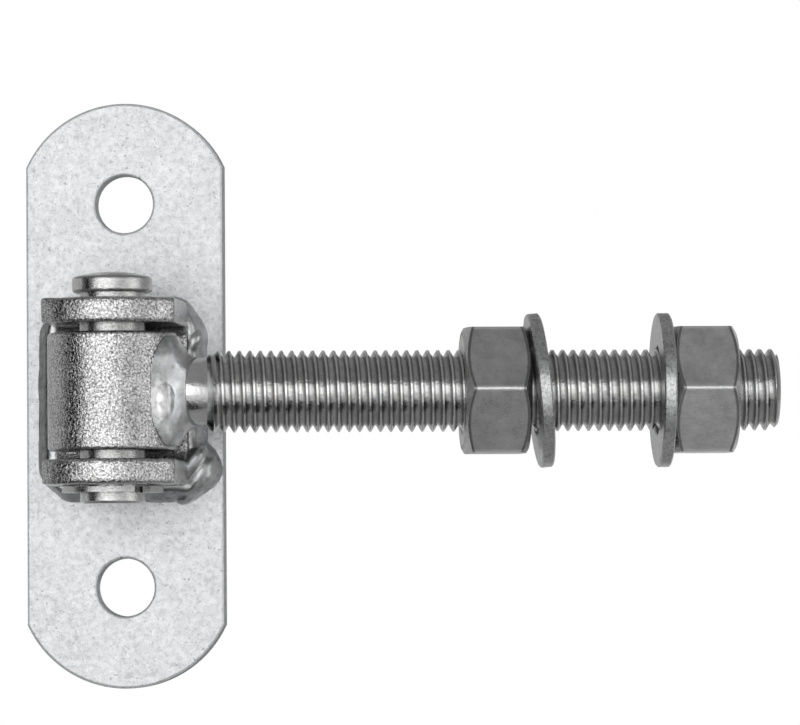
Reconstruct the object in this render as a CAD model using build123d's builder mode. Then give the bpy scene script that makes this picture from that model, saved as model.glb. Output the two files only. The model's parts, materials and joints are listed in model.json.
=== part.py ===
from build123d import *
import math
import os

os.makedirs("parts", exist_ok=True)

# Adjustable gate hinge, in millimetres. The origin is the centre of the plate's back face.
# The plate stands in the XZ plane, its front looks along -Y, and the hinge pin is upright.

# Wall plate: a flat bar with arched ends and a bolt hole near each end
plate_width = 48.0
plate_length = 142.0
plate_thickness = 6.0
plate_end_rise = 15.4
plate_edge_round = 0.7
bolt_hole_diameter = 14.0
bolt_hole_spacing = 93.0

# Barrel: the tube that turns on the pin
barrel_diameter = 31.0
barrel_height = 28.2
barrel_edge_round = 1.0
bore_chamfer = 0.5

# Hinge pin and its running fit
pin_diameter = 15.6
pin_clearance = 0.05
pin_head_diameter = 19.2
pin_head_rim = 3.7
pin_head_dome = 1.4
pin_head_round = 0.9
pin_lift = 1.5
pin_tail = 2.6
pin_end_chamfer = 0.6

# Retaining clip: an open ring that snaps into the pin's groove
clip_diameter = 24.2
clip_thickness = 1.3
clip_band = 2.9
clip_tongue_width = 4.4
clip_tongue_count = 3
clip_opening = 4.5
clip_opening_angle = -47.0
clip_clearance = 0.05
clip_lift = 0.5
groove_depth = 0.9

# Hinge bracket: one strap bent into a U round the barrel
strap_thickness = 6.0
ear_width = 31.8
ear_reach = 16.7
ear_nose_radius = 20.0
ear_edge_round = 0.8
bend_inner_radius = 3.0
barrel_end_gap = 2.05
barrel_back_gap = 2.5

# Weld bead round the foot of the bracket, with a wide place at its lower right
bead_rise = 5.6
bead_taper = 24.0
bead_crown = 2.2
bead_corner_radius = 6.5
bead_left_leg = 4.9
bead_right_leg = 4.1
bead_top_leg = 3.1
bead_bottom_leg = 3.7
lump_radius = 7.9
lump_reach_right = 7.8
lump_reach_down = 4.2
lump_blend_radius = 3.0

# Threaded rod: neck at the thread's root, then a plain stretch as wide as the thread's crests
thread_diameter = 19.6
neck_diameter = 16.5
thread_start = 24.0
thread_run_out = 1.6
rod_reach = 159.4
rod_end_chamfer = 1.3
arm_angle = 8.3

# Weld saddle between the barrel and the rod's neck
saddle_width = 26.0
saddle_height = 33.0
saddle_corner_radius = 10.5
saddle_length = 20.2
saddle_hollow = 0.6
saddle_toe_step = 0.15

# Hexagon nuts and flat washers
nut_across_flats = 30.0
nut_height = 15.7
nut_edge_round = 0.8
nut_face_share = 0.95
nut_chamfer_angle = 30.0
nut_bore_chamfer = 1.0
nut_clearance = 0.05
washer_diameter = 37.0
washer_hole_diameter = 21.4
washer_thickness = 3.0
washer_edge_break = 0.35
washer_lean = 5.2
seat_gap = 0.05

# Where the nuts and washers stand: the free thread past the outer nut, and the gap between the washers
rod_tail = 10.2
clamp_gap = 26.8

# Places that follow from the sizes above
barrel_radius = barrel_diameter / 2
bore_radius = pin_diameter / 2 + pin_clearance
pin_y = -(plate_thickness + strap_thickness + barrel_back_gap + barrel_radius)
ear_inner_height = barrel_height / 2 + barrel_end_gap
ear_outer_height = ear_inner_height + strap_thickness
arm_turn = math.radians(arm_angle)
arm_direction = Vector(math.cos(arm_turn), math.sin(arm_turn), 0)
arm_side = Vector(math.sin(arm_turn), -math.cos(arm_turn), 0)
pin_foot = Vector(0, pin_y, 0)
pin_section = Plane(origin=pin_foot, x_dir=(1, 0, 0), z_dir=(0, -1, 0))
rod_section = Plane(origin=pin_foot, x_dir=arm_direction, z_dir=arm_side)
pin_axis = Axis(pin_foot, (0, 0, 1))
rod_axis = Axis(pin_foot, arm_direction)


def across_pin(height):
    """A level plane on the pin's axis."""
    return Plane(origin=(0, pin_y, height))


def across_rod(distance):
    """A plane square to the rod, at a distance from the pin's axis."""
    return Plane(origin=pin_foot + arm_direction * distance, x_dir=arm_side, z_dir=arm_direction)


# Wall plate
plate_corner_height = plate_length / 2 - plate_end_rise
with BuildPart() as wall_plate:
    with BuildSketch(Plane.XZ):
        with BuildLine():
            Line((-plate_width / 2, -plate_corner_height), (-plate_width / 2, plate_corner_height))
            ThreePointArc(
                (-plate_width / 2, plate_corner_height),
                (0, plate_length / 2),
                (plate_width / 2, plate_corner_height),
            )
            Line((plate_width / 2, plate_corner_height), (plate_width / 2, -plate_corner_height))
            ThreePointArc(
                (plate_width / 2, -plate_corner_height),
                (0, -plate_length / 2),
                (-plate_width / 2, -plate_corner_height),
            )
        make_face()
        with GridLocations(0, bolt_hole_spacing, 1, 2):
            Circle(bolt_hole_diameter / 2, mode=Mode.SUBTRACT)
    extrude(amount=plate_thickness)
    fillet(wall_plate.edges().group_by(Axis.Y)[0], radius=plate_edge_round)
wall_plate.part.label = "wall_plate"
export_step(wall_plate.part, "parts/wall_plate.step")

# Hinge bracket
ear_front = pin_y - ear_reach
nose_centre_y = ear_front + ear_nose_radius
with BuildPart() as hinge_bracket:
    with BuildSketch(Plane.YZ):
        with BuildLine():
            FilletPolyline(
                (ear_front, ear_inner_height),
                (-plate_thickness - strap_thickness, ear_inner_height),
                (-plate_thickness - strap_thickness, -ear_inner_height),
                (ear_front, -ear_inner_height),
                radius=bend_inner_radius,
            )
            offset(amount=strap_thickness, side=Side.LEFT)
        make_face()
    extrude(amount=ear_width / 2, both=True)
    with BuildSketch(Plane.XY):
        with Locations((0, nose_centre_y)):
            Circle(ear_nose_radius)
        with Locations((0, nose_centre_y / 2)):
            Rectangle(2 * ear_nose_radius, -nose_centre_y)
    extrude(amount=ear_outer_height, both=True, mode=Mode.INTERSECT)
    with BuildSketch(across_pin(0)):
        Circle(bore_radius)
    extrude(amount=ear_outer_height, both=True, mode=Mode.SUBTRACT)
    nose_edges = hinge_bracket.edges().filter_by(
        lambda edge: edge.geom_type == GeomType.CIRCLE and edge.radius > bore_radius + 1
        and abs(edge.center().Z) > ear_inner_height - 1
        and edge.center().Y < pin_y
    )
    fillet(nose_edges, radius=ear_edge_round)
hinge_bracket.part.label = "hinge_bracket"
export_step(hinge_bracket.part, "parts/hinge_bracket.step")

# Bracket weld
bead_width = ear_width + bead_left_leg + bead_right_leg
bead_height = 2 * ear_outer_height + bead_top_leg + bead_bottom_leg
bead_centre = ((bead_right_leg - bead_left_leg) / 2, (bead_top_leg - bead_bottom_leg) / 2)
lump_centre = (
    ear_width / 2 + lump_reach_right - lump_radius,
    -(ear_outer_height + lump_reach_down - lump_radius),
)


def on_lump(corner):
    """Whether a corner of the bead's outline lies on the rim of its wide place."""
    reach = math.hypot(corner.X - lump_centre[0], corner.Y - lump_centre[1])
    return abs(reach - lump_radius) < 0.01


with BuildPart() as bracket_weld:
    with BuildSketch(Plane.XZ.offset(plate_thickness)) as bead_outline:
        with Locations(bead_centre):
            RectangleRounded(bead_width, bead_height, bead_corner_radius)
        with Locations(lump_centre):
            Circle(lump_radius)
        hollow_corners = bead_outline.vertices().filter_by(on_lump)
        fillet(hollow_corners, radius=lump_blend_radius)
    extrude(amount=bead_rise, taper=bead_taper)
    fillet(bracket_weld.edges().group_by(Axis.Y)[0], radius=bead_crown)
    add(hinge_bracket.part, mode=Mode.SUBTRACT)
bracket_weld.part.label = "bracket_weld"
export_step(bracket_weld.part, "parts/bracket_weld.step")

# Barrel
with BuildPart() as barrel:
    with BuildSketch(across_pin(-barrel_height / 2)):
        Circle(barrel_radius)
        Circle(bore_radius, mode=Mode.SUBTRACT)
    extrude(amount=barrel_height)
    rims = barrel.edges().filter_by(GeomType.CIRCLE)
    fillet(rims.filter_by(lambda edge: edge.radius > bore_radius + 1), radius=barrel_edge_round)
    bore_rims = barrel.edges().filter_by(GeomType.CIRCLE).filter_by(lambda edge: edge.radius < bore_radius + 0.01)
    chamfer(bore_rims, length=bore_chamfer)
barrel.part.label = "barrel"
export_step(barrel.part, "parts/barrel.step")

# Threaded rod: it starts inside the barrel's wall and is cut to a saddle there
rod_root = barrel_radius - 4
thread_radius = thread_diameter / 2
neck_radius = neck_diameter / 2
with BuildPart() as threaded_rod:
    with BuildSketch(rod_section):
        with BuildLine():
            Polyline(
                (rod_root, 0),
                (rod_root, neck_radius),
                (thread_start - thread_run_out, neck_radius),
                (thread_start, thread_radius),
                (rod_reach - rod_end_chamfer, thread_radius),
                (rod_reach, thread_radius - rod_end_chamfer),
                (rod_reach, 0),
                close=True,
            )
        make_face()
    revolve(axis=rod_axis)
    with BuildSketch(across_pin(0)):
        Circle(barrel_radius)
    extrude(amount=barrel_height / 2, both=True, mode=Mode.SUBTRACT)
threaded_rod.part.label = "threaded_rod"
export_step(threaded_rod.part, "parts/threaded_rod.step")

# Arm weld: a saddle that wraps the barrel, cut level with its ends, and shrinks to a collar on the neck
saddle_side_start = math.sqrt(barrel_radius ** 2 - (saddle_width / 2) ** 2)
saddle_toe_width = neck_diameter + 2 * saddle_toe_step
saddle_top = barrel_height / 2 - barrel_edge_round
saddle_shoulder_width = (saddle_width + saddle_toe_width) / 2
saddle_shoulder = (saddle_side_start + saddle_length) / 2
with BuildPart() as arm_weld:
    with BuildSketch(across_rod(saddle_side_start)):
        RectangleRounded(saddle_width, saddle_height, saddle_corner_radius)
    with BuildSketch(across_rod(saddle_shoulder)):
        RectangleRounded(saddle_shoulder_width, saddle_height, saddle_corner_radius)
    with BuildSketch(across_rod((saddle_shoulder + saddle_length) / 2)):
        RectangleRounded(
            (saddle_shoulder_width + saddle_toe_width) / 2 - saddle_hollow,
            saddle_top + saddle_toe_width / 2 - saddle_hollow,
            neck_radius,
        )
    with BuildSketch(across_rod(saddle_length)):
        RectangleRounded(saddle_toe_width, saddle_toe_width, neck_radius)
    loft()
    with BuildSketch(across_pin(0)):
        Circle(saddle_length + saddle_width)
    extrude(amount=saddle_top, both=True, mode=Mode.INTERSECT)
    with BuildSketch(across_pin(0)):
        Circle(barrel_radius)
    extrude(amount=barrel_height, both=True, mode=Mode.SUBTRACT)
    with BuildSketch(across_rod(0)):
        Circle(neck_radius)
    extrude(amount=rod_reach, mode=Mode.SUBTRACT)
arm_weld.part.label = "arm_weld"
export_step(arm_weld.part, "parts/arm_weld.step")

# Hinge pin: its head stands a little above the upper ear, as the pin's end play allows
head_bottom = ear_outer_height + pin_lift
head_top = head_bottom + pin_head_rim
groove_top = -(ear_outer_height + clip_lift) + clip_clearance
groove_bottom = groove_top - clip_thickness - 2 * clip_clearance
pin_end = groove_bottom - pin_tail
pin_radius = pin_diameter / 2
head_radius = pin_head_diameter / 2
groove_radius = pin_radius - groove_depth
with BuildPart() as hinge_pin:
    with BuildSketch(pin_section):
        with BuildLine():
            Polyline(
                (0, pin_end),
                (pin_radius - pin_end_chamfer, pin_end),
                (pin_radius, pin_end + pin_end_chamfer),
                (pin_radius, groove_bottom),
                (groove_radius, groove_bottom),
                (groove_radius, groove_top),
                (pin_radius, groove_top),
                (pin_radius, head_bottom),
                (head_radius, head_bottom),
                (head_radius, head_top),
            )
            Spline(
                (head_radius, head_top),
                (0, head_top + pin_head_dome),
                tangents=((-1, pin_head_dome / head_radius * 2), (-1, 0)),
            )
            Line((0, head_top + pin_head_dome), (0, pin_end))
        make_face()
    revolve(axis=pin_axis)
    head_rims = hinge_pin.edges().filter_by(GeomType.CIRCLE).filter_by(
        lambda edge: abs(edge.radius - head_radius) < 0.01
    )
    fillet(head_rims, radius=pin_head_round)
hinge_pin.part.label = "hinge_pin"
export_step(hinge_pin.part, "parts/hinge_pin.step")

# Retaining clip: its tongues reach into the groove, and its opening faces the front right
clip_radius = clip_diameter / 2
tongue_root = clip_radius - clip_band / 2
tongue_tip = groove_radius + clip_clearance
with BuildPart() as retaining_clip:
    with BuildSketch(across_pin(groove_bottom + clip_clearance)):
        Circle(clip_radius)
        Circle(clip_radius - clip_band, mode=Mode.SUBTRACT)
        with PolarLocations(
            (tongue_root + tongue_tip) / 2,
            clip_tongue_count,
            start_angle=clip_opening_angle + 180,
        ):
            Rectangle(tongue_root - tongue_tip, clip_tongue_width)
        Circle(tongue_tip, mode=Mode.SUBTRACT)
        with PolarLocations(clip_radius, 1, start_angle=clip_opening_angle):
            Rectangle(clip_radius, clip_opening, mode=Mode.SUBTRACT)
    extrude(amount=clip_thickness)
retaining_clip.part.label = "retaining_clip"
export_step(retaining_clip.part, "parts/retaining_clip.step")

# Hexagon nuts: an edge of each faces the viewer, and both ends have the usual cone
nut_corner_radius = nut_across_flats / math.sqrt(3)
nut_face_radius = nut_across_flats / 2 * nut_face_share
nut_cone_depth = (nut_corner_radius - nut_face_radius) * math.tan(math.radians(nut_chamfer_angle))
nut_bore_radius = thread_radius + nut_clearance
washer_top_reach = (
    nut_face_radius * math.sin(math.radians(washer_lean))
    + washer_thickness / 2 * math.cos(math.radians(washer_lean))
)
outer_nut_start = rod_reach - rod_tail - nut_height
outer_washer_place = outer_nut_start - seat_gap - washer_thickness / 2
inner_washer_place = outer_washer_place - clamp_gap - washer_thickness
inner_nut_start = inner_washer_place - washer_top_reach - seat_gap - nut_height
for nut_name, nut_start in (("inner_nut", inner_nut_start), ("outer_nut", outer_nut_start)):
    with BuildPart() as nut:
        with BuildSketch(across_rod(nut_start)) as nut_outline:
            RegularPolygon(nut_corner_radius, 6)
            fillet(nut_outline.vertices(), radius=nut_edge_round)
        extrude(amount=nut_height)
        with BuildSketch(rod_section):
            with BuildLine():
                Polyline(
                    (nut_start, 0),
                    (nut_start, nut_face_radius),
                    (nut_start + nut_cone_depth, nut_corner_radius),
                    (nut_start + nut_height - nut_cone_depth, nut_corner_radius),
                    (nut_start + nut_height, nut_face_radius),
                    (nut_start + nut_height, 0),
                    close=True,
                )
            make_face()
        revolve(axis=rod_axis, mode=Mode.INTERSECT)
        with BuildSketch(across_rod(nut_start)):
            Circle(nut_bore_radius)
        extrude(amount=nut_height, mode=Mode.SUBTRACT)
        bore_rims = nut.edges().filter_by(GeomType.CIRCLE).filter_by(
            lambda edge: edge.radius < nut_bore_radius + 0.01
        )
        chamfer(bore_rims, length=nut_bore_chamfer)
    nut.part.label = nut_name
    export_step(nut.part, f"parts/{nut_name}.step")

# Flat washers: the inner one leans back against its nut at the top, the outer one stands square
lean_turn = math.radians(washer_lean)
inner_washer_plane = Plane(
    origin=pin_foot + arm_direction * inner_washer_place,
    x_dir=arm_side,
    z_dir=arm_direction * math.cos(lean_turn) + Vector(0, 0, math.sin(lean_turn)),
)
outer_washer_plane = across_rod(outer_washer_place)
for washer_name, washer_plane in (("inner_washer", inner_washer_plane), ("outer_washer", outer_washer_plane)):
    with BuildPart() as washer:
        with BuildSketch(washer_plane):
            Circle(washer_diameter / 2)
            Circle(washer_hole_diameter / 2, mode=Mode.SUBTRACT)
        extrude(amount=washer_thickness / 2, both=True)
        washer_rims = washer.edges().filter_by(GeomType.CIRCLE)
        chamfer(washer_rims, length=washer_edge_break)
    washer.part.label = washer_name
    export_step(washer.part, f"parts/{washer_name}.step")
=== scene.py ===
# %% [markdown]
# # An adjustable gate hinge
# The hinge is a flat plate that bolts to a wall, a strap bent into a fork and welded to the plate,
# a pin through the fork, and a barrel on the pin with a threaded rod welded to it. Two nuts and two
# washers on the rod clamp the gate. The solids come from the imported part. Here they get their
# zinc finishes, the rod gets its real thread, and the two welds get their hand-laid shape.

# %% Load the solids
import bpy
import json
import math
from mathutils import Matrix, Vector


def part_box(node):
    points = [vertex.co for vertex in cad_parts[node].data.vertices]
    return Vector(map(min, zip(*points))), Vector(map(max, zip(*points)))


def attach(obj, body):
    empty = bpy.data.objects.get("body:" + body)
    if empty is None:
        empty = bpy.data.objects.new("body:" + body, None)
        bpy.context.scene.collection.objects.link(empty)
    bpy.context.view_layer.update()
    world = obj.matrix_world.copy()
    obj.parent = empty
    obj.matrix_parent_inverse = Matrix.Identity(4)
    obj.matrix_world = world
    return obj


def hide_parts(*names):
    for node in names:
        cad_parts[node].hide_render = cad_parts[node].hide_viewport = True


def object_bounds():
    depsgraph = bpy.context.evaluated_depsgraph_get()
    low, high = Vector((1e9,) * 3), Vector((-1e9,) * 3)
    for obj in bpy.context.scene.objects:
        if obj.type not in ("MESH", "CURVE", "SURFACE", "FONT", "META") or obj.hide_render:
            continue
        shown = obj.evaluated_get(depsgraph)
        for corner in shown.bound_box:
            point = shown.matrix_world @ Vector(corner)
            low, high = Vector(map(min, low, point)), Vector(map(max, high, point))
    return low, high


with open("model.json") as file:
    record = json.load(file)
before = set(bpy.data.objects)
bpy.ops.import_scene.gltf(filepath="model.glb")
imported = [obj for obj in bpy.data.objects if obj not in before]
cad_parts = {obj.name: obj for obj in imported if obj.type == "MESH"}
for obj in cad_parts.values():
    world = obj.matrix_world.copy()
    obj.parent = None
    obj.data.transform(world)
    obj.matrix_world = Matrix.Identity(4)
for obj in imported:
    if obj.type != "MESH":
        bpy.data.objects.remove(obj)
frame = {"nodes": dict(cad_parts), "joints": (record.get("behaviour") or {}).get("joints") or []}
nodes = frame["nodes"]
cad_low, cad_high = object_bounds()
print("solids:", len(nodes), "from", tuple(cad_low), "to", tuple(cad_high))

# %% [markdown]
# The rod isn't square to the plate: it swings on the pin. Its line is read from the joint of the
# washer that slides on it, so every piece on the rod can be placed by its distance from the pin.

# %% Find the pin and the rod's line
joints = {joint["name"]: joint for joint in frame["joints"]}
pin_foot = Vector(joints["arm_swing"]["pos_m"])
rod_line = Vector(joints["inner_washer_slide"]["axis"]).normalized()
rod_turn = math.atan2(rod_line.y, rod_line.x)
print("pin at", tuple(pin_foot), "rod turned", round(math.degrees(rod_turn), 2), "degrees")


# %% [markdown]
# Operators act on whatever is selected. These helpers clear the selection, pick one piece, and lay
# a finished piece down with its place in its mesh, as the solids have theirs.

# %% Helpers for picking and placing
def pick(piece):
    """Makes one piece the only selected and active one."""
    if bpy.context.object and bpy.context.object.mode != "OBJECT":
        bpy.ops.object.mode_set(mode="OBJECT")
    bpy.ops.object.select_all(action="DESELECT")
    piece.select_set(True)
    bpy.context.view_layer.objects.active = piece
    return piece


def lay_on_rod(piece, distance):
    """Turns a piece made round its own Z axis onto the rod, at a distance from the pin."""
    place = Matrix.Translation(pin_foot + rod_line * distance)
    place = place @ Matrix.Rotation(rod_turn, 4, "Z") @ Matrix.Rotation(math.radians(90), 4, "Y")
    pick(piece)
    piece.matrix_world = place
    bpy.ops.object.transform_apply(location=True, rotation=True, scale=True)
    return piece


def apply_all(piece):
    """Applies the modifiers of a piece in order."""
    pick(piece)
    for modifier in list(piece.modifiers):
        bpy.ops.object.modifier_apply(modifier=modifier.name)
    print(piece.name, "has", len(piece.data.polygons), "faces")
    return piece


pick(nodes["wall_plate"])
bpy.ops.object.select_all(action="DESELECT")


# %% [markdown]
# ## Materials
# All the steel is zinc coated, but each piece was coated and handled in its own way. Each finish
# below is one metal shader whose colour, roughness and bump come from noise at the scale of the
# real surface. This helper makes the shader and gives the noise and ramp nodes a short form. Where
# a distance leaves an axis out, that axis gets a unit so long that it counts for nothing.

# %% A helper that builds a metal finish
unmeasured = 1000


class Finish:
    """A node material with one metal shader, and short calls for the textures that drive it."""

    def __init__(self, name, metallic):
        self.material = bpy.data.materials.new(name)
        self.material.use_nodes = True
        self.tree = self.material.node_tree
        self.shader = self.tree.nodes["Principled BSDF"]
        self.shader.inputs["Metallic"].default_value = metallic
        self.place = self.tree.nodes.new("ShaderNodeTexCoord")

    def link(self, source, target):
        """Joins two sockets."""
        self.tree.links.new(source, target)

    def stretched(self, scale):
        """The object's own coordinates in metres, stretched along each axis."""
        mapping = self.tree.nodes.new("ShaderNodeMapping")
        mapping.inputs["Scale"].default_value = scale
        self.link(self.place.outputs["Object"], mapping.inputs["Vector"])
        return mapping.outputs["Vector"]

    def noise(self, grain, detail=4.0, rough=0.55, warp=0.0, along=(1, 1, 1)):
        """Noise whose grains are about that many metres across."""
        node = self.tree.nodes.new("ShaderNodeTexNoise")
        node.inputs["Scale"].default_value = 1 / grain
        node.inputs["Detail"].default_value = detail
        node.inputs["Roughness"].default_value = rough
        node.inputs["Distortion"].default_value = warp
        self.link(self.stretched(along), node.inputs["Vector"])
        return node.outputs["Fac"]

    def depth_from(self, origin, axis_scale, turn=0.0):
        """How far a point is from an origin, each axis measured in its own unit."""
        mapping = self.tree.nodes.new("ShaderNodeMapping")
        mapping.vector_type = "TEXTURE"
        mapping.inputs["Location"].default_value = origin
        mapping.inputs["Rotation"].default_value = (0, 0, turn)
        mapping.inputs["Scale"].default_value = axis_scale
        self.link(self.place.outputs["Object"], mapping.inputs["Vector"])
        length = self.tree.nodes.new("ShaderNodeVectorMath")
        length.operation = "LENGTH"
        self.link(mapping.outputs["Vector"], length.inputs[0])
        return length.outputs["Value"]

    def ramp(self, value, stops):
        """A value turned into greys or colours: stops are pairs of a place and a colour."""
        node = self.tree.nodes.new("ShaderNodeValToRGB")
        band = node.color_ramp
        band.elements.remove(band.elements[-1])
        for index, (position, colour) in enumerate(stops):
            element = band.elements.new(position) if index else band.elements[0]
            element.position = position
            grey = (colour, colour, colour) if isinstance(colour, (int, float)) else colour
            element.color = (*grey, 1)
        self.link(value, node.inputs["Fac"])
        return node.outputs["Color"]

    def mix(self, share, first, second, kind="MIX"):
        """Two colours mixed by a share, which may be a number or a socket."""
        node = self.tree.nodes.new("ShaderNodeMix")
        node.data_type = "RGBA"
        node.blend_type = kind
        if isinstance(share, (int, float)):
            node.inputs[0].default_value = share
        else:
            self.link(share, node.inputs[0])
        self.link(first, node.inputs[6])
        self.link(second, node.inputs[7])
        return node.outputs[2]

    def add(self, first, second, weight=1.0):
        """First plus weight times second."""
        node = self.tree.nodes.new("ShaderNodeMath")
        node.operation = "MULTIPLY_ADD"
        node.inputs[1].default_value = weight
        self.link(second, node.inputs[0])
        self.link(first, node.inputs[2])
        return node.outputs["Value"]

    def bump(self, height, depth):
        """Bumps of that depth in metres."""
        node = self.tree.nodes.new("ShaderNodeBump")
        node.inputs["Distance"].default_value = depth
        self.link(height, node.inputs["Height"])
        self.link(node.outputs["Normal"], self.shader.inputs["Normal"])

    def colour(self, socket):
        """Sets what drives the metal's colour."""
        self.link(socket, self.shader.inputs["Base Color"])

    def roughness(self, socket):
        """Sets what drives how matt the metal is."""
        self.link(socket, self.shader.inputs["Roughness"])


# %% [markdown]
# The plate has a dull coat of zinc: pale grey, almost white, with faint clouds a few millimetres wide,
# darker specks, and a fine pitted skin. It is more a pale crust than a mirror, so it is only
# partly metallic and quite rough. The sheared sides, behind the front face, are darkened as painted shade.

# %% Plate zinc
def plate_zinc():
    finish = Finish("plate_zinc", 0.6)
    dull, pale = (0.74, 0.755, 0.765), (0.84, 0.85, 0.86)
    clouds = finish.ramp(finish.noise(0.009, 5, 0.6), ((0.30, dull), (0.72, pale)))
    mottle = finish.ramp(finish.noise(0.0012, 5, 0.75, 0.6), ((0.36, 0.62), (0.52, 1.0)))
    specks = finish.ramp(finish.noise(0.0009, 3, 0.7), ((0.28, 0.3), (0.38, 1.0)))
    tone = finish.mix(0.6, clouds, mottle, "MULTIPLY")
    tone = finish.mix(0.7, tone, specks, "MULTIPLY")
    from_back = finish.depth_from((0, 0, 0), (unmeasured, 0.012, unmeasured))
    # Painted shade: the plate's sides, between its back and front faces, are darkened.
    side_shade = finish.ramp(from_back, ((0.0, 1.0), (0.02, 0.34), (0.44, 0.34), (0.485, 1.0)))
    finish.colour(finish.mix(1.0, tone, side_shade, "MULTIPLY"))
    finish.roughness(finish.ramp(finish.noise(0.002, 4), ((0.3, 0.36), (0.7, 0.52))))
    skin = finish.add(finish.noise(0.0013, 5, 0.65), finish.noise(0.0005, 3, 0.6), 0.4)
    finish.bump(skin, 0.00014)
    return finish.material


# %% [markdown]
# The strap and the barrel have bright zinc over a rough forged skin. Pits under a millimetre wide
# break every reflection into sparks, so the bump is strong and the metal under it is smooth.

# %% Bright zinc on a rough skin
def rough_zinc(name, dark, pale, depth):
    finish = Finish(name, 1.0)
    clouds = finish.ramp(finish.noise(0.006, 5, 0.6), ((0.3, dark), (0.7, pale)))
    grain = finish.ramp(finish.noise(0.0005, 3, 0.7, 0.6), ((0.36, 0.12), (0.56, 1.0)))
    finish.colour(finish.mix(0.9, clouds, grain, "MULTIPLY"))
    finish.roughness(finish.ramp(finish.noise(0.002, 4), ((0.3, 0.10), (0.7, 0.20))))
    skin = finish.add(finish.noise(0.0006, 2, 0.6, 0.6), finish.noise(0.0025, 3, 0.5), 0.5)
    finish.bump(skin, depth)
    return finish.material


# %% [markdown]
# The weld metal froze from a liquid and was then coated, so it is smooth and soft edged, with a
# few shallow ripples and darker spots where flux was left. Each weld has one patch of painted light:
# a painted highlight on the ridge of the arm's weld, painted shade on the far side of the bracket's.

# %% Weld zinc
def weld_zinc(name, painted_spot, painted_spot_size, painted_spot_dark, painted_spot_pale):
    finish = Finish(name, 1.0)
    dark, pale = (0.36, 0.365, 0.37), (0.72, 0.725, 0.73)
    tone = finish.ramp(finish.noise(0.006, 5, 0.6, 0.8), ((0.30, dark), (0.70, pale)))
    # A patch of painted light round one spot: pale tones paint a highlight, dark tones paint shade.
    far = finish.add(finish.depth_from(painted_spot, painted_spot_size), finish.noise(0.002, 4, 0.6), 0.5)
    painted_patch = finish.ramp(finish.noise(0.0015, 4), ((0.3, painted_spot_dark), (0.6, painted_spot_pale)))
    tone = finish.mix(finish.ramp(far, ((0.8, 1.0), (1.0, 0.0))), tone, painted_patch)
    soot = finish.ramp(finish.noise(0.0015, 4, 0.65), ((0.30, 0.45), (0.46, 1.0)))
    finish.colour(finish.mix(0.6, tone, soot, "MULTIPLY"))
    finish.roughness(finish.ramp(finish.noise(0.004, 4), ((0.3, 0.26), (0.7, 0.44))))
    finish.bump(finish.add(finish.noise(0.0045, 3, 0.45), finish.noise(0.0012, 3, 0.5), 0.25), 0.00012)
    return finish.material


# %% [markdown]
# The pin and its clip are smooth bright steel. The nuts and washers are satin, darker, with faint
# handling marks drawn out along one direction. A nut's corners get a painted highlight, paler and
# rougher: they are the points furthest from the rod's line, so the painted highlight is a matter of
# that distance. Painted shade lies as a dark line along the edge of the nut's 30 degree chamfer, and
# on the flanks of the rod's thread between the bright crests. The pin's domed top is painted darker
# than its sides, as painted shade, and the washers have a grainy coat.

# %% Smooth and satin zinc
nut_chamfer = math.radians(30)


def smooth_zinc(
    name, dark, pale, rough, marks,
    corner_highlight_from=None, chamfer=None, groove=False, grain=0.0, shaded_top_from=None,
):
    finish = Finish(name, 1.0)
    clouds = finish.ramp(finish.noise(0.005, 5, 0.6), ((0.3, dark), (0.7, pale)))
    stains = finish.ramp(finish.noise(0.0016, 5, 0.7, 0.5), ((0.30, 0.70), (0.46, 1.0)))
    tone = finish.mix(0.5, clouds, stains, "MULTIPLY")
    if grain:
        spots = finish.ramp(finish.noise(0.0007, 3, 0.7, 0.6), ((0.38, 0.25), (0.54, 1.0)))
        tone = finish.mix(grain, tone, spots, "MULTIPLY")
    gloss = finish.ramp(finish.noise(0.0025, 5, 0.6), ((0.3, rough - 0.07), (0.7, rough + 0.08)))
    # Painted highlight: the nut's corners, furthest from the rod's line, are paler and rougher.
    if corner_highlight_from:
        reach = finish.depth_from(pin_foot, (unmeasured, corner_highlight_from, corner_highlight_from), rod_turn)
        corner_highlight = finish.ramp(finish.add(reach, finish.noise(0.001, 4), -0.012), ((0.975, 0.0), (0.994, 1.0)))
        tone = finish.mix(corner_highlight, tone, finish.ramp(finish.noise(0.001), ((0.3, 0.86), (0.6, 0.95))))
        gloss = finish.mix(corner_highlight, gloss, finish.ramp(finish.noise(0.001), ((0.3, 0.42), (0.6, 0.50))))
    if chamfer:
        centre, edge = chamfer
        unit = 0.02
        from_middle = finish.depth_from(centre, (unit, unmeasured, unmeasured), rod_turn)
        from_line = finish.depth_from(centre, (unmeasured, unit, unit), rod_turn)
        cone = finish.add(from_middle, from_line, math.tan(nut_chamfer))
        cone = finish.add(cone, finish.noise(0.0012, 4), 0.008)
        # Painted shade: a dark line along the edge of the nut's chamfer.
        chamfer_shade = (edge - 0.034, 1.0), (edge - 0.020, 0.3), (edge, 0.3), (edge + 0.005, 1.0)
        rim = finish.ramp(cone, chamfer_shade)
        tone = finish.mix(0.85, tone, rim, "MULTIPLY")
    if groove:
        # Painted shade on the thread's flanks, so that the crests stand out bright.
        from_line = finish.depth_from(pin_foot, (unmeasured, 0.01, 0.01), rod_turn)
        flank = finish.ramp(from_line, ((0.855, 0.95), (0.905, 0.66), (0.945, 0.42), (0.972, 1.0)))
        tone = finish.mix(1.0, tone, flank, "MULTIPLY")
    if shaded_top_from:
        # Painted shade on the pin's domed top.
        height = finish.depth_from((0, 0, 0), (unmeasured, unmeasured, shaded_top_from))
        tone = finish.mix(1.0, tone, finish.ramp(height, ((0.975, 1.0), (0.992, 0.75))), "MULTIPLY")
    finish.colour(tone)
    finish.roughness(gloss)
    scratches = finish.noise(0.0012, 4, 0.6, 0.2, marks)
    finish.bump(finish.add(scratches, finish.noise(0.003, 3), 0.7), 0.00009)
    return finish.material


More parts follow.
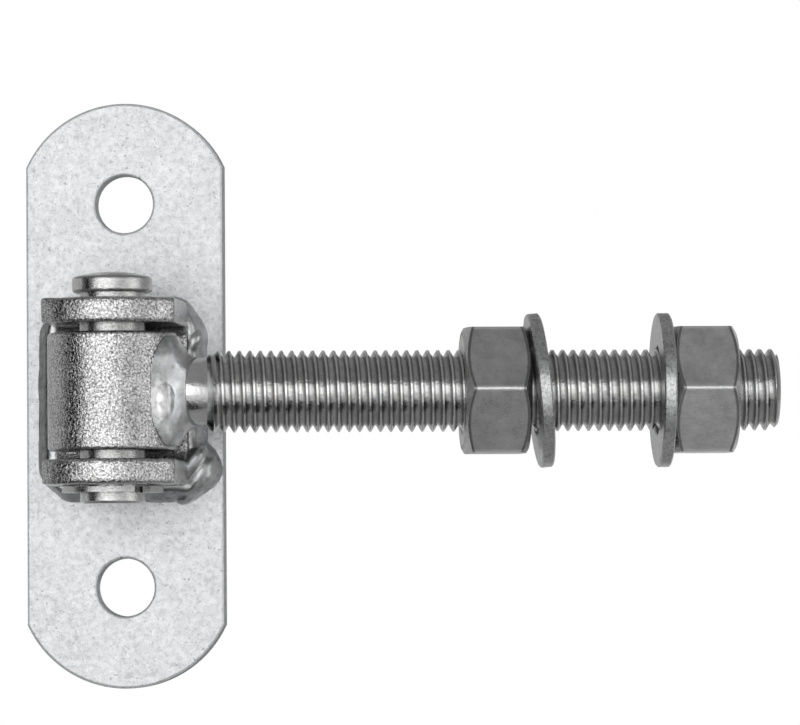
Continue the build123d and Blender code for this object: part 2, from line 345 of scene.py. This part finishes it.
def nut_zinc(node, dark, pale):
    """A nut's finish, with painted shade along the chamfer's edge: that edge lies where the distances from
    the nut's middle add up so.
    """
    low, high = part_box(node)
    corner_reach = 0.0172
    chamfer_edge = 0.803
    chamfer = ((low + high) / 2, chamfer_edge)
    return smooth_zinc(node + "_zinc", dark, pale, 0.30, (1, 3, 3), corner_reach, chamfer)


# %% Put each finish on its solids
pit_depth = 0.00020
dome_height = 0.0275
finishes = {
    "wall_plate": plate_zinc(),
    "hinge_bracket": rough_zinc("bracket_zinc", 0.60, 0.78, pit_depth),
    "barrel": rough_zinc("barrel_zinc", 0.58, 0.76, pit_depth),
    "hinge_pin": smooth_zinc(
        "pin_zinc", 0.53, (0.72, 0.72, 0.71), 0.20, (1, 1, 6), shaded_top_from=dome_height,
    ),
    "retaining_clip": smooth_zinc("clip_steel", 0.46, (0.66, 0.66, 0.65), 0.20, (1, 1, 6)),
    "inner_nut": nut_zinc("inner_nut", 0.54, 0.68),
    "outer_nut": nut_zinc("outer_nut", 0.63, 0.80),
    "inner_washer": smooth_zinc(
        "washer_zinc", (0.56, 0.565, 0.565), (0.72, 0.725, 0.725), 0.30, (4, 1, 1), grain=0.5,
    ),
}
finishes["outer_washer"] = finishes["inner_washer"]
for name, material in finishes.items():
    nodes[name].data.materials.clear()
    nodes[name].data.materials.append(material)
print("finishes:", sorted({material.name for material in finishes.values()}))

# %% [markdown]
# ## The rod's thread
# The solid rod is plain at the width of the crests. The real one is a coarse metric thread: a 60
# degree groove with a rounded root, one turn every 2.5 mm. One pitch of the outline is drawn by
# extruding a single point, and the Screw modifier carries it round and along, which gives a true
# helix that the light can run along.

# %% Thread sizes
mm = 0.001
thread_pitch = 2.5 * mm
thread_depth = 1.53 * mm
root_round = 0.12 * mm
crest_half = 0.17 * mm
crest_round = 0.09 * mm
rod_low, rod_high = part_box("threaded_rod")
thread_radius = (rod_high.z - rod_low.z) / 2
neck_radius = 8.25 * mm
thread_start = 24.0 * mm
thread_run_out = 1.6 * mm
rod_reach = 159.4 * mm
rod_end_chamfer = 1.3 * mm
crest_phase = 1.54 * mm
first_cut = 0.45 * mm
fade_in = 4.0 * mm
flank_angle = math.radians(30)
turn_steps = 72
spare_turns = 5


# %% Draw one pitch and screw it along the rod
def pitch_outline():
    """One pitch of the thread from crest to crest, as pairs of a place along the rod and a radius."""
    flank = (thread_depth - crest_round) * math.tan(flank_angle)
    crest_edge = crest_half + crest_round
    root_edge = crest_edge + flank
    middle = thread_pitch / 2
    first_half = [
        (crest_half, thread_radius),
        (crest_edge, thread_radius - crest_round),
        (root_edge, thread_radius - thread_depth + root_round / 2),
    ]
    root = [(middle, thread_radius - thread_depth - root_round / 2)]
    second_half = [(thread_pitch - along, radius) for along, radius in reversed(first_half)]
    return first_half + root + second_half


def thread_blank():
    """The endless thread round Z, longer than the rod needs at both ends."""
    first, *rest = pitch_outline()
    bpy.ops.mesh.primitive_plane_add(size=mm, location=(0, 0, 0))
    blank = bpy.context.object
    blank.name = "rod_thread"
    bpy.ops.object.mode_set(mode="EDIT")
    bpy.ops.mesh.merge(type="CENTER")
    bpy.ops.transform.translate(value=(first[1], 0, first[0]))
    here = first
    for along, radius in rest + [(first[0] + thread_pitch, first[1])]:
        step = (radius - here[1], 0, along - here[0])
        bpy.ops.mesh.extrude_region_move(TRANSFORM_OT_translate={"value": step})
        here = (along, radius)
    bpy.ops.object.mode_set(mode="OBJECT")
    screw = blank.modifiers.new("screw", "SCREW")
    screw.axis = "Z"
    screw.angle = math.radians(360)
    screw.screw_offset = thread_pitch
    screw.iterations = math.ceil((rod_reach - thread_start) / thread_pitch) + spare_turns
    screw.steps = screw.render_steps = turn_steps
    screw.use_merge_vertices = True
    screw.merge_threshold = 0.00001
    screw.use_normal_calculate = True
    return apply_all(blank)


pick(nodes["threaded_rod"])
bpy.ops.object.select_all(action="DESELECT")
rod_thread = thread_blank()

# %% [markdown]
# The endless thread is now cut to length with two bisects, and its ends are shaped: the start fades
# into the neck, and the far end has a chamfer. Both are cones, so every point outside the cone
# is drawn in to it. The groove itself starts shallow and is at full depth after a turn and a half.


# %% Cut and shape the thread's ends
def cut_to_length(piece, low, high):
    """Cuts a piece round Z at two heights and closes both ends."""
    pick(piece)
    for height, outer in ((low, False), (high, True)):
        bpy.ops.object.mode_set(mode="EDIT")
        bpy.ops.mesh.select_all(action="SELECT")
        bpy.ops.mesh.bisect(
            plane_co=(0, 0, height), plane_no=(0, 0, 1), use_fill=True,
            clear_inner=not outer, clear_outer=outer, threshold=0.000001,
        )
        bpy.ops.object.mode_set(mode="OBJECT")


def widest(distance):
    """How wide the rod may be at a distance from the pin."""
    run_out = neck_radius + (distance - (thread_start - thread_run_out)) * (
        (thread_radius - neck_radius) / thread_run_out
    )
    chamfer = thread_radius + (rod_reach - rod_end_chamfer) - distance
    return max(neck_radius, min(thread_radius, run_out, chamfer))


def narrowest(distance):
    """How deep the groove may go at a distance from the pin: the die cuts deeper turn by turn."""
    fade = min(1.0, max(0.0, (distance - (thread_start - thread_run_out)) / fade_in))
    return thread_radius - first_cut - (thread_depth + root_round - first_cut) * fade


def draw_in(piece, offset):
    """Moves each point of a piece round Z inside the rod's outline."""
    for point in piece.data.vertices:
        radius = math.hypot(point.co.x, point.co.y)
        distance = point.co.z + offset
        wanted = min(max(radius, narrowest(distance)), widest(distance))
        if radius > root_round:
            point.co.x *= wanted / radius
            point.co.y *= wanted / radius


blank_start = math.floor((thread_start - thread_run_out) / thread_pitch - 2) * thread_pitch + crest_phase
cut_to_length(rod_thread, thread_start - thread_run_out - blank_start, rod_reach - blank_start)
draw_in(rod_thread, blank_start)
lay_on_rod(rod_thread, blank_start)
bpy.ops.object.mode_set(mode="EDIT")
bpy.ops.mesh.select_all(action="SELECT")
bpy.ops.mesh.normals_make_consistent(inside=False)
bpy.ops.object.mode_set(mode="OBJECT")
bpy.ops.object.shade_smooth_by_angle(angle=math.radians(28))
print("thread turns:", round((rod_reach - thread_start) / thread_pitch, 1))

# %% [markdown]
# The neck is a plain turned length between the weld and the thread. It is a cylinder that runs back
# into the weld, with a small round where it meets the thread.

# %% The neck
neck_start = 13.0 * mm
bpy.ops.object.select_all(action="DESELECT")
bpy.ops.mesh.primitive_cylinder_add(
    vertices=96, radius=neck_radius, depth=thread_start - neck_start, location=(0, 0, 0)
)
rod_neck = bpy.context.object
rod_neck.name = "rod_neck"
bevel = rod_neck.modifiers.new("rim", "BEVEL")
bevel.width = 0.2 * mm
bevel.segments = 2
apply_all(rod_neck)
lay_on_rod(rod_neck, (thread_start + neck_start) / 2)
bpy.ops.object.shade_smooth_by_angle(angle=math.radians(35))

# %% Rod finish and ownership
rod_zinc = smooth_zinc("rod_zinc", 0.66, (0.84, 0.84, 0.835), 0.18, (1, 1, 1), groove=True)
for piece in (rod_thread, rod_neck):
    piece.data.materials.append(rod_zinc)
    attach(piece, "arm")
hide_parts("threaded_rod")

# %% [markdown]
# ## The welds
# A hand-laid bead is never even: it is a row of drops that froze one on the next. Each weld starts
# as a copy of its solid with a few flattened spheres let into it, one for each drop that stands
# out. The voxel Remesh modifier melts them into one skin, Smooth softens the creases, and two sizes
# of cloud noise push the skin in and out a little.


# %% Drops of weld metal
def add_drop(place, turn, size):
    """One frozen drop: a flattened sphere at a place, turned as a Euler angle, in metres."""
    bpy.ops.object.select_all(action="DESELECT")
    bpy.ops.mesh.primitive_uv_sphere_add(segments=48, ring_count=24, radius=1)
    drop = bpy.context.object
    drop.scale = size
    drop.rotation_euler = turn
    drop.location = place
    bpy.ops.object.transform_apply(location=True, rotation=True, scale=True)
    return drop


def solid_copy(node, name):
    """A free copy of a solid, its loose triangles merged."""
    bpy.ops.object.select_all(action="DESELECT")
    piece = nodes[node].copy()
    piece.data = nodes[node].data.copy()
    piece.name = name
    piece.parent = None
    bpy.context.scene.collection.objects.link(piece)
    pick(piece)
    bpy.ops.object.mode_set(mode="EDIT")
    bpy.ops.mesh.select_all(action="SELECT")
    bpy.ops.mesh.remove_doubles(threshold=0.000005)
    bpy.ops.object.mode_set(mode="OBJECT")
    piece.data.materials.clear()
    return piece


def melt(piece, drops, voxel, swell, lump, lump_size, ripple, ripple_size, rounds=5):
    """Joins the drops to a weld and gives the whole one lumpy skin."""
    bpy.ops.object.select_all(action="DESELECT")
    for drop in drops:
        drop.select_set(True)
    piece.select_set(True)
    bpy.context.view_layer.objects.active = piece
    if drops:
        bpy.ops.object.join()
    remesh = piece.modifiers.new("skin", "REMESH")
    remesh.mode = "VOXEL"
    remesh.voxel_size = voxel
    smooth = piece.modifiers.new("soften", "SMOOTH")
    smooth.factor = 0.5
    smooth.iterations = rounds
    for size, depth, outward in ((lump_size, lump, swell), (ripple_size, ripple, 0)):
        texture = bpy.data.textures.new(piece.name + "_clouds", "CLOUDS")
        texture.noise_scale = size
        texture.noise_depth = 1
        push = piece.modifiers.new("push", "DISPLACE")
        push.texture = texture
        push.texture_coords = "LOCAL"
        push.strength = depth
        push.mid_level = 0.5 - outward / depth
    apply_all(piece)
    bpy.ops.object.shade_smooth()


# %% [markdown]
# The strap is bent from flat bar. Its edges are worn round, and its faces aren't quite flat. So it
# gets a skin in the same way, without drops.

# %% The strap's worn edges
worn_bracket = solid_copy("hinge_bracket", "worn_bracket")
melt(
    worn_bracket, [], voxel=0.36 * mm, swell=0.06 * mm,
    lump=0.3 * mm, lump_size=6 * mm, ripple=0.05 * mm, ripple_size=2 * mm, rounds=16,
)
worn_bracket.data.materials.append(finishes["hinge_bracket"])
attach(worn_bracket, "base")
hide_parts("hinge_bracket")

# %% [markdown]
# The bead round the bracket's foot is smooth along its upper right, and piled up in slanting folds
# at the lower right, as where a welder stops and starts again.

# %% The bracket's bead
plate_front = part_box("wall_plate")[0].y
bracket_bead = solid_copy("bracket_weld", "bracket_bead")
folds = []
for x, depth, z, slant, size in (
    (16.6, 4.2, -16.8, -52, (5.6, 3.0, 2.2)),
    (18.5, 3.0, -19.6, -56, (6.0, 3.2, 2.5)),
    (17.4, 1.8, -23.0, -32, (5.4, 3.0, 2.3)),
    (17.0, 3.2, 12.4, -70, (4.0, 2.6, 2.2)),
):
    place = Vector((x * mm, plate_front - depth * mm, z * mm))
    folds.append(add_drop(place, (0, math.radians(slant), 0), Vector(size) * mm))
melt(
    bracket_bead, folds, voxel=0.4 * mm, swell=0.25 * mm,
    lump=0.6 * mm, lump_size=8 * mm, ripple=0.06 * mm, ripple_size=2 * mm,
)

# %% [markdown]
# The bead goes round the strap's corners in a wide curve. The solid's corner is squarer, so between
# the side and the top each point is drawn in, most at the middle of the corner, and the more the
# further out it lies, so that the bead keeps its sloping side. Along the top it stays hidden behind
# the strap's upper ear, so it is lowered a little there.

# %% Round the bead's corners
hidden_from = 14 * mm
hidden_over = 5 * mm
hidden_drop = 1.5 * mm
for point in bracket_bead.data.vertices:
    point.co.z -= hidden_drop * min(1.0, max(0.0, (point.co.z - hidden_from) / hidden_over))
squareness = 4.5
steady = 0.6
for centre_x, centre_z, radius_x, radius_z in (
    (12.4, 12.8, 8.1, 9.4),
    (13.6, -17.6, 8.4, 10.2),
    (-12.6, 13.0, 7.6, 9.2),
    (-12.6, -17.0, 7.6, 9.8),
):
    for point in bracket_bead.data.vertices:
        aside = (point.co.x / mm - centre_x) / radius_x
        up = (point.co.z / mm - centre_z) / radius_z
        reach = math.hypot(aside, up)
        if aside * centre_x > 0 and up * centre_z > 0 and reach > steady:
            corner = abs(aside / reach) ** squareness + abs(up / reach) ** squareness
            corner = corner ** (-1 / squareness)
            wanted = steady + (reach - steady) * (1 - steady) / (corner - steady)
            point.co.x = (centre_x + aside * radius_x * wanted / reach) * mm
            point.co.z = (centre_z + up * radius_z * wanted / reach) * mm

# %% [markdown]
# On the barrel the weld lies as a crescent with a bright ridge, and from there a smooth skirt runs
# out to the neck. Its drops are placed by their distance from the pin along the rod, to the
# rod's front side, and up.

# %% The arm's saddle
rod_side = Vector((rod_line.y, -rod_line.x, 0))
arm_saddle = solid_copy("arm_weld", "arm_saddle")
folds = []
for distance, side, up, size in (
    (12.0, 9.2, -2.4, (2.8, 3.7, 7.2)),
    (13.4, 6.0, 8.0, (2.6, 3.6, 4.4)),
    (14.4, 5.6, -8.6, (2.6, 3.4, 4.0)),
):
    outward = rod_line * distance + rod_side * side
    place = pin_foot + outward * mm + Vector((0, 0, up * mm))
    folds.append(add_drop(place, (0, 0, math.atan2(outward.y, outward.x)), Vector(size) * mm))
melt(
    arm_saddle, folds, voxel=0.28 * mm, swell=0.05 * mm,
    lump=0.4 * mm, lump_size=5 * mm, ripple=0.05 * mm, ripple_size=1.5 * mm,
)

# %% [markdown]
# The skirt doesn't reach equally far along the neck: at the front it stops short and leaves the neck
# bare, above and below it runs further. Points beyond that line are drawn most of the way to it.

# %% Trim the skirt's toe
toe_front = 17.0 * mm
toe_back = 20.2 * mm
back_from = 80
pull = 0.92
for point in arm_saddle.data.vertices:
    arm = point.co - pin_foot
    distance, side = arm.dot(rod_line), arm.dot(rod_side)
    share_back = min(1.0, math.degrees(abs(math.atan2(arm.z, side))) / back_from)
    toe = toe_front + (toe_back - toe_front) * share_back ** 2
    if distance > toe:
        point.co -= rod_line * (distance - toe) * pull

# %% Weld finish and ownership
# Painted highlight: a pale patch on the ridge of the arm's weld.
ridge_highlight = pin_foot + (rod_line * 10.6 + rod_side * 11.0) * mm + Vector((0, 0, -2.4 * mm))
ridge_highlight_size = (3.4 * mm, 6.0 * mm, 8.6 * mm)
# Painted shade: a dark patch on the far side of the bracket's bead.
shaded_side = Vector((-20 * mm, plate_front - 2 * mm, 0))
bead_finish = weld_zinc("bead_zinc", shaded_side, (5 * mm, 12 * mm, 36 * mm), 0.15, 0.24)
saddle_finish = weld_zinc("weld_zinc", ridge_highlight, ridge_highlight_size, 0.72, 0.92)
for weld, node, body, finish in (
    (bracket_bead, "bracket_weld", "base", bead_finish),
    (arm_saddle, "arm_weld", "arm", saddle_finish),
):
    weld.data.materials.append(finish)
    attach(weld, body)
    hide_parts(node)

# %% [markdown]
# ## Floor, light and camera
# The hinge hangs on a wall in use, so here it floats over a pale floor in a white room. The room
# is white for the camera and in every reflection, and gives an even light. The floor can be looked
# through from below, so the underside of the hinge can be seen as well.

# %% Floor
floor_height = -0.30
bpy.ops.object.select_all(action="DESELECT")
bpy.ops.mesh.primitive_plane_add(size=6, location=(0, 0, floor_height))
floor = bpy.context.object
floor.name = "floor"
floor_paint = Finish("floor_paint", 0.0)
floor_paint.shader.inputs["Roughness"].default_value = 0.9
floor_paint.colour(floor_paint.ramp(floor_paint.noise(0.5), ((0.3, 0.86), (0.7, 0.88))))
from_below = floor_paint.tree.nodes.new("ShaderNodeNewGeometry")
clear = floor_paint.tree.nodes.new("ShaderNodeBsdfTransparent")
one_sided = floor_paint.tree.nodes.new("ShaderNodeMixShader")
floor_paint.link(from_below.outputs["Backfacing"], one_sided.inputs["Fac"])
floor_paint.link(floor_paint.shader.outputs["BSDF"], one_sided.inputs[1])
floor_paint.link(clear.outputs["BSDF"], one_sided.inputs[2])
floor_paint.link(one_sided.outputs["Shader"], floor_paint.tree.nodes["Material Output"].inputs["Surface"])
floor.data.materials.append(floor_paint.material)

# %% White room
world = bpy.data.worlds.new("studio")
bpy.context.scene.world = world
world.use_nodes = True
room = world.node_tree
room.nodes.clear()
rays = room.nodes.new("ShaderNodeLightPath")
seen_or_mirrored = room.nodes.new("ShaderNodeMath")
seen_or_mirrored.operation = "MAXIMUM"
room.links.new(rays.outputs["Is Camera Ray"], seen_or_mirrored.inputs[0])
room.links.new(rays.outputs["Is Glossy Ray"], seen_or_mirrored.inputs[1])
or_through = room.nodes.new("ShaderNodeMath")
or_through.operation = "MAXIMUM"
room.links.new(seen_or_mirrored.outputs["Value"], or_through.inputs[0])
room.links.new(rays.outputs["Is Transmission Ray"], or_through.inputs[1])
white = room.nodes.new("ShaderNodeBackground")
white.inputs["Color"].default_value = (1, 1, 1, 1)
even_light = room.nodes.new("ShaderNodeBackground")
even_level = 0.6
even_light.inputs["Color"].default_value = (even_level, even_level, even_level, 1)
choose = room.nodes.new("ShaderNodeMixShader")
room.links.new(or_through.outputs["Value"], choose.inputs["Fac"])
room.links.new(even_light.outputs["Background"], choose.inputs[1])
room.links.new(white.outputs["Background"], choose.inputs[2])
out = room.nodes.new("ShaderNodeOutputWorld")
room.links.new(choose.outputs["Shader"], out.inputs["Surface"])

# %% [markdown]
# Bare metal shows what stands round it more than its own colour, so a photographer puts up lamps
# and cards: a lamp gives a bright band, a dark card a dark one. A direction here is two angles
# seen from the hinge, round from the front (right is more) and up from level.

# %% Where lamps and cards stand
stand_centre = (cad_low + cad_high) / 2


def towards(degrees_round, degrees_up):
    """The direction from the hinge at two angles."""
    a, e = math.radians(degrees_round), math.radians(degrees_up)
    return Vector((math.sin(a) * math.cos(e), -math.cos(a) * math.cos(e), math.sin(e)))


def soft_lamp(name, degrees_round, degrees_up, distance, width, height, power):
    """An area lamp that faces the hinge."""
    lamp = bpy.data.lights.new(name, "AREA")
    lamp.shape = "RECTANGLE"
    lamp.size, lamp.size_y = width, height
    lamp.energy = power
    holder = bpy.data.objects.new(name, lamp)
    aim = towards(degrees_round, degrees_up)
    holder.location = stand_centre + aim * distance
    holder.rotation_euler = aim.to_track_quat("Z", "Y").to_euler()
    bpy.context.scene.collection.objects.link(holder)
    print(name, "shines at", round(power / (math.pi * width * height), 2))


def card(name, degrees_round, degrees_up, distance, width, height, level):
    """A card that faces the hinge and shows only in reflections, as an even grey."""
    aim = towards(degrees_round, degrees_up)
    bpy.ops.object.select_all(action="DESELECT")
    bpy.ops.mesh.primitive_plane_add(size=1)
    panel = bpy.context.object
    panel.name = name
    panel.scale = (width, height, 1)
    panel.rotation_euler = aim.to_track_quat("Z", "Y").to_euler()
    panel.location = stand_centre + aim * distance
    paint = bpy.data.materials.new(name)
    paint.use_nodes = True
    paint.node_tree.nodes.clear()
    glow = paint.node_tree.nodes.new("ShaderNodeEmission")
    glow.inputs["Color"].default_value = (level, level, level, 1)
    surface = paint.node_tree.nodes.new("ShaderNodeOutputMaterial")
    paint.node_tree.links.new(glow.outputs["Emission"], surface.inputs["Surface"])
    panel.data.materials.append(paint)
    panel.visible_camera = False
    panel.visible_diffuse = False
    panel.visible_shadow = False


# %% Lamps and cards
soft_lamp("front_left_lamp", -16, 4, 1.2, 1.4, 0.8, 3.6)
soft_lamp("right_lamp", 74, 6, 1.2, 0.42, 0.9, 0.9)
for name, degrees_round, degrees_up, distance, width, height, level in (
    ("ceiling_card", 0, 90, 0.57, 3.4, 3.4, 0.25),
    ("left_card", -69, 10, 1.0, 0.72, 1.8, 0.0),
    ("back_left_card", -136, 0, 1.1, 2.0, 1.0, 0.50),
    ("back_right_card", 124, 0, 1.1, 1.7, 1.0, 0.36),
    ("front_right_card", 41, 0, 1.25, 1.14, 0.9, 0.82),
    ("low_left_card", -73, -38, 0.34, 0.26, 0.26, 0.02),
    ("low_card", 0, -90, 0.22, 0.9, 0.6, 0.28),
    ("low_front_card", -30, -58, 0.24, 0.24, 0.22, 0.02),
):
    card(name, degrees_round, degrees_up, distance, width, height, level)

# %% [markdown]
# The camera stands a metre and a half away, a little right of the plate and a little below it, with
# a long lens. Its place was worked out from the corners and holes of the plate and the thread's
# pitch.

# %% Camera
camera_place = Vector((0.1779, -1.4509, -0.0508))
camera_turn = 4.39
camera_tilt = 2.3
camera_roll = 0.36
camera = bpy.data.objects.new("camera", bpy.data.cameras.new("camera"))
camera.data.sensor_width = 36
camera.data.lens = 270
camera.data.clip_end = 100
camera.matrix_world = (
    Matrix.Translation(camera_place)
    @ Matrix.Rotation(math.radians(camera_turn), 4, "Z")
    @ Matrix.Rotation(math.radians(90 + camera_tilt), 4, "X")
    @ Matrix.Rotation(math.radians(-camera_roll), 4, "Z")
)
bpy.context.scene.collection.objects.link(camera)
bpy.context.scene.camera = camera
bpy.context.scene.view_settings.view_transform = "Standard"
